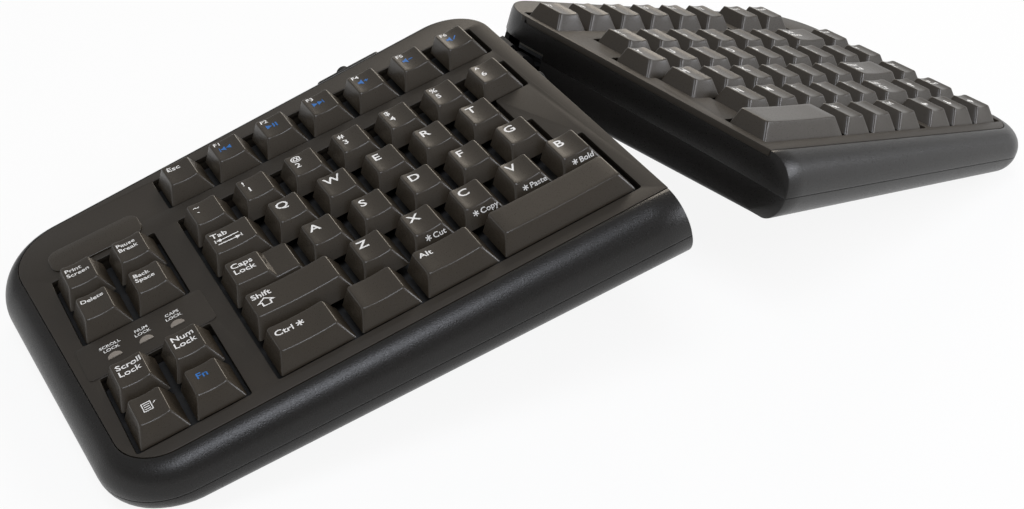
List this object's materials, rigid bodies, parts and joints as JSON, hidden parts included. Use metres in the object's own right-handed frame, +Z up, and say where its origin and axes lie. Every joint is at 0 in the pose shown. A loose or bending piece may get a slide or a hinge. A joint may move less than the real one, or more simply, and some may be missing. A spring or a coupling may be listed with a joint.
{
  "type": "ergonomic split keyboard",
  "caption": "Split computer keyboard in two tented, splayed halves on a locking ball joint at the back, with rounded palm edges, dished keys on sprung guides and an outer column of extra keys.",
  "frame": {"origin": "middle of the footprint, on the table", "axes": "+X to the typist's right, +Y away from the typist, +Z up"},
  "size_m": [0.413, 0.1703, 0.0772],
  "materials": {
    "case": "satin",
    "deck": "fine texture",
    "key": "satin",
    "carrier": "matte",
    "rubber": "matte",
    "silicone": "matte",
    "film": "satin",
    "steel": "brushed",
    "board": "satin",
    "light": "smoked"
  },
  "bodies": {
    "left_half": {"left_base": "case", "left_rim": "case", "left_deck": "deck", "left_key_frame": "carrier", "left_domes": "silicone", "left_membrane": "film", "left_back_plate": "steel", "left_feet": "rubber", "left_screws": "steel", "controller_board": "board", "status_windows": "light", "label_plate": "case", "cable_gland": "rubber", "inner_stop": "rubber", "hinge_socket": "steel", "lever_pin": "steel"},
    "hinge_ball": {"hinge_ball": "steel"},
    "right_half": {"right_base": "case", "right_rim": "case", "right_deck": "deck", "right_key_frame": "carrier", "right_domes": "silicone", "right_membrane": "film", "right_back_plate": "steel", "right_feet": "rubber", "right_screws": "steel", "hinge_yoke": "steel"},
    "lock_lever": {"lock_lever": "case"},
    "clamp_plunger": {"clamp_plunger": "steel"},
    "left_function_keys": {"left_function_keys": "key"},
    "escape_key": {"escape_key": "key"},
    "left_number_keys": {"left_number_keys": "key"},
    "left_upper_letter_keys": {"left_upper_letter_keys": "key"},
    "left_home_letter_keys": {"left_home_letter_keys": "key"},
    "left_lower_letter_keys": {"left_lower_letter_keys": "key"},
    "tab_key": {"tab_key": "key"},
    "caps_lock_key": {"caps_lock_key": "key"},
    "left_shift_key": {"left_shift_key": "key"},
    "left_control_key": {"left_control_key": "key"},
    "left_system_key": {"left_system_key": "key"},
    "left_alt_key": {"left_alt_key": "key"},
    "left_space_bar": {"left_space_bar": "key"},
    "edit_keys": {"edit_keys": "key"},
    "lock_keys": {"lock_keys": "key"},
    "menu_key": {"menu_key": "key"},
    "fn_key": {"fn_key": "key"},
    "right_function_keys": {"right_function_keys": "key"},
    "extra_function_keys": {"extra_function_keys": "key"},
    "right_number_keys": {"right_number_keys": "key"},
    "backspace_key": {"backspace_key": "key"},
    "right_upper_letter_keys": {"right_upper_letter_keys": "key"},
    "backslash_key": {"backslash_key": "key"},
    "right_home_letter_keys": {"right_home_letter_keys": "key"},
    "enter_key": {"enter_key": "key"},
    "right_lower_letter_keys": {"right_lower_letter_keys": "key"},
    "right_shift_key": {"right_shift_key": "key"},
    "right_space_bar": {"right_space_bar": "key"},
    "right_modifier_keys": {"right_modifier_keys": "key"},
    "arrow_keys": {"arrow_keys": "key"},
    "page_keys": {"page_keys": "key"}
  },
  "joints": [
    {"name": "splay", "type": "hinge", "parent": "left_half", "child": "hinge_ball", "pos_m": [0.00565, 0.05248, 0.05792], "axis": [0, 0, 1], "range_deg": [-14, 12]},
    {"name": "tent", "type": "hinge", "parent": "hinge_ball", "child": "right_half", "pos_m": [0.00565, 0.05248, 0.05792], "axis": [0, 1, 0], "range_deg": [-28, 2]},
    {"name": "lock_swing", "type": "hinge", "parent": "left_half", "child": "lock_lever", "pos_m": [-0.0205, 0.07244, 0.04804], "axis": [-0.9563, 0.1174, -0.2677], "range_deg": [0, 60]},
    {"name": "clamp_slide", "type": "slide", "parent": "left_half", "child": "clamp_plunger", "axis": [0.1125, 0.9931, 0.0336], "range_m": [0, 0.0005]},
    {"name": "left_function_keys_press", "type": "slide", "parent": "left_half", "child": "left_function_keys", "axis": [0.2698, 0.002, -0.9629], "range_m": [0, 0.0035], "stiffness_N_per_m": 720, "springref_m": -0.004},
    {"name": "escape_key_press", "type": "slide", "parent": "left_half", "child": "escape_key", "axis": [0.2698, 0.002, -0.9629], "range_m": [0, 0.0035], "stiffness_N_per_m": 120, "springref_m": -0.004},
    {"name": "left_number_keys_press", "type": "slide", "parent": "left_half", "child": "left_number_keys", "axis": [0.2698, 0.002, -0.9629], "range_m": [0, 0.0035], "stiffness_N_per_m": 840, "springref_m": -0.004},
    {"name": "left_upper_letter_keys_press", "type": "slide", "parent": "left_half", "child": "left_upper_letter_keys", "axis": [0.2698, 0.002, -0.9629], "range_m": [0, 0.0035], "stiffness_N_per_m": 600, "springref_m": -0.004},
    {"name": "left_home_letter_keys_press", "type": "slide", "parent": "left_half", "child": "left_home_letter_keys", "axis": [0.2698, 0.002, -0.9629], "range_m": [0, 0.0035], "stiffness_N_per_m": 600, "springref_m": -0.004},
    {"name": "left_lower_letter_keys_press", "type": "slide", "parent": "left_half", "child": "left_lower_letter_keys", "axis": [0.2698, 0.002, -0.9629], "range_m": [0, 0.0035], "stiffness_N_per_m": 600, "springref_m": -0.004},
    {"name": "tab_key_press", "type": "slide", "parent": "left_half", "child": "tab_key", "axis": [0.2698, 0.002, -0.9629], "range_m": [0, 0.0035], "stiffness_N_per_m": 120, "springref_m": -0.004},
    {"name": "caps_lock_key_press", "type": "slide", "parent": "left_half", "child": "caps_lock_key", "axis": [0.2698, 0.002, -0.9629], "range_m": [0, 0.0035], "stiffness_N_per_m": 120, "springref_m": -0.004},
    {"name": "left_shift_key_press", "type": "slide", "parent": "left_half", "child": "left_shift_key", "axis": [0.2698, 0.002, -0.9629], "range_m": [0, 0.0035], "stiffness_N_per_m": 120, "springref_m": -0.004},
    {"name": "left_control_key_press", "type": "slide", "parent": "left_half", "child": "left_control_key", "axis": [0.2698, 0.002, -0.9629], "range_m": [0, 0.0035], "stiffness_N_per_m": 120, "springref_m": -0.004},
    {"name": "left_system_key_press", "type": "slide", "parent": "left_half", "child": "left_system_key", "axis": [0.2698, 0.002, -0.9629], "range_m": [0, 0.0035], "stiffness_N_per_m": 120, "springref_m": -0.004},
    {"name": "left_alt_key_press", "type": "slide", "parent": "left_half", "child": "left_alt_key", "axis": [0.2698, 0.002, -0.9629], "range_m": [0, 0.0035], "stiffness_N_per_m": 120, "springref_m": -0.004},
    {"name": "left_space_bar_press", "type": "slide", "parent": "left_half", "child": "left_space_bar", "axis": [0.2698, 0.002, -0.9629], "range_m": [0, 0.0035], "stiffness_N_per_m": 120, "springref_m": -0.004},
    {"name": "edit_keys_press", "type": "slide", "parent": "left_half", "child": "edit_keys", "axis": [0.2698, 0.002, -0.9629], "range_m": [0, 0.0035], "stiffness_N_per_m": 480, "springref_m": -0.004},
    {"name": "lock_keys_press", "type": "slide", "parent": "left_half", "child": "lock_keys", "axis": [0.2698, 0.002, -0.9629], "range_m": [0, 0.0035], "stiffness_N_per_m": 240, "springref_m": -0.004},
    {"name": "menu_key_press", "type": "slide", "parent": "left_half", "child": "menu_key", "axis": [0.2698, 0.002, -0.9629], "range_m": [0, 0.0035], "stiffness_N_per_m": 120, "springref_m": -0.004},
    {"name": "fn_key_press", "type": "slide", "parent": "left_half", "child": "fn_key", "axis": [0.2698, 0.002, -0.9629], "range_m": [0, 0.0035], "stiffness_N_per_m": 120, "springref_m": -0.004},
    {"name": "right_function_keys_press", "type": "slide", "parent": "right_half", "child": "right_function_keys", "axis": [-0.2855, 0.0001, -0.9584], "range_m": [0, 0.0035], "stiffness_N_per_m": 720, "springref_m": -0.004},
    {"name": "extra_function_keys_press", "type": "slide", "parent": "right_half", "child": "extra_function_keys", "axis": [-0.2855, 0.0001, -0.9584], "range_m": [0, 0.0035], "stiffness_N_per_m": 240, "springref_m": -0.004},
    {"name": "right_number_keys_press", "type": "slide", "parent": "right_half", "child": "right_number_keys", "axis": [-0.2855, 0.0001, -0.9584], "range_m": [0, 0.0035], "stiffness_N_per_m": 720, "springref_m": -0.004},
    {"name": "backspace_key_press", "type": "slide", "parent": "right_half", "child": "backspace_key", "axis": [-0.2855, 0.0001, -0.9584], "range_m": [0, 0.0035], "stiffness_N_per_m": 120, "springref_m": -0.004},
    {"name": "right_upper_letter_keys_press", "type": "slide", "parent": "right_half", "child": "right_upper_letter_keys", "axis": [-0.2855, 0.0001, -0.9584], "range_m": [0, 0.0035], "stiffness_N_per_m": 840, "springref_m": -0.004},
    {"name": "backslash_key_press", "type": "slide", "parent": "right_half", "child": "backslash_key", "axis": [-0.2855, 0.0001, -0.9584], "range_m": [0, 0.0035], "stiffness_N_per_m": 120, "springref_m": -0.004},
    {"name": "right_home_letter_keys_press", "type": "slide", "parent": "right_half", "child": "right_home_letter_keys", "axis": [-0.2855, 0.0001, -0.9584], "range_m": [0, 0.0035], "stiffness_N_per_m": 720, "springref_m": -0.004},
    {"name": "enter_key_press", "type": "slide", "parent": "right_half", "child": "enter_key", "axis": [-0.2855, 0.0001, -0.9584], "range_m": [0, 0.0035], "stiffness_N_per_m": 120, "springref_m": -0.004},
    {"name": "right_lower_letter_keys_press", "type": "slide", "parent": "right_half", "child": "right_lower_letter_keys", "axis": [-0.2855, 0.0001, -0.9584], "range_m": [0, 0.0035], "stiffness_N_per_m": 600, "springref_m": -0.004},
    {"name": "right_shift_key_press", "type": "slide", "parent": "right_half", "child": "right_shift_key", "axis": [-0.2855, 0.0001, -0.9584], "range_m": [0, 0.0035], "stiffness_N_per_m": 120, "springref_m": -0.004},
    {"name": "right_space_bar_press", "type": "slide", "parent": "right_half", "child": "right_space_bar", "axis": [-0.2855, 0.0001, -0.9584], "range_m": [0, 0.0035], "stiffness_N_per_m": 120, "springref_m": -0.004},
    {"name": "right_modifier_keys_press", "type": "slide", "parent": "right_half", "child": "right_modifier_keys", "axis": [-0.2855, 0.0001, -0.9584], "range_m": [0, 0.0035], "stiffness_N_per_m": 360, "springref_m": -0.004},
    {"name": "arrow_keys_press", "type": "slide", "parent": "right_half", "child": "arrow_keys", "axis": [-0.2855, 0.0001, -0.9584], "range_m": [0, 0.0035], "stiffness_N_per_m": 480, "springref_m": -0.004},
    {"name": "page_keys_press", "type": "slide", "parent": "right_half", "child": "page_keys", "axis": [-0.2855, 0.0001, -0.9584], "range_m": [0, 0.0035], "stiffness_N_per_m": 480, "springref_m": -0.004}
  ],
  "couplings": [
    {"joint": "lock_swing", "follows": "clamp_slide", "rad_per_m": 2094.4}
  ]
}
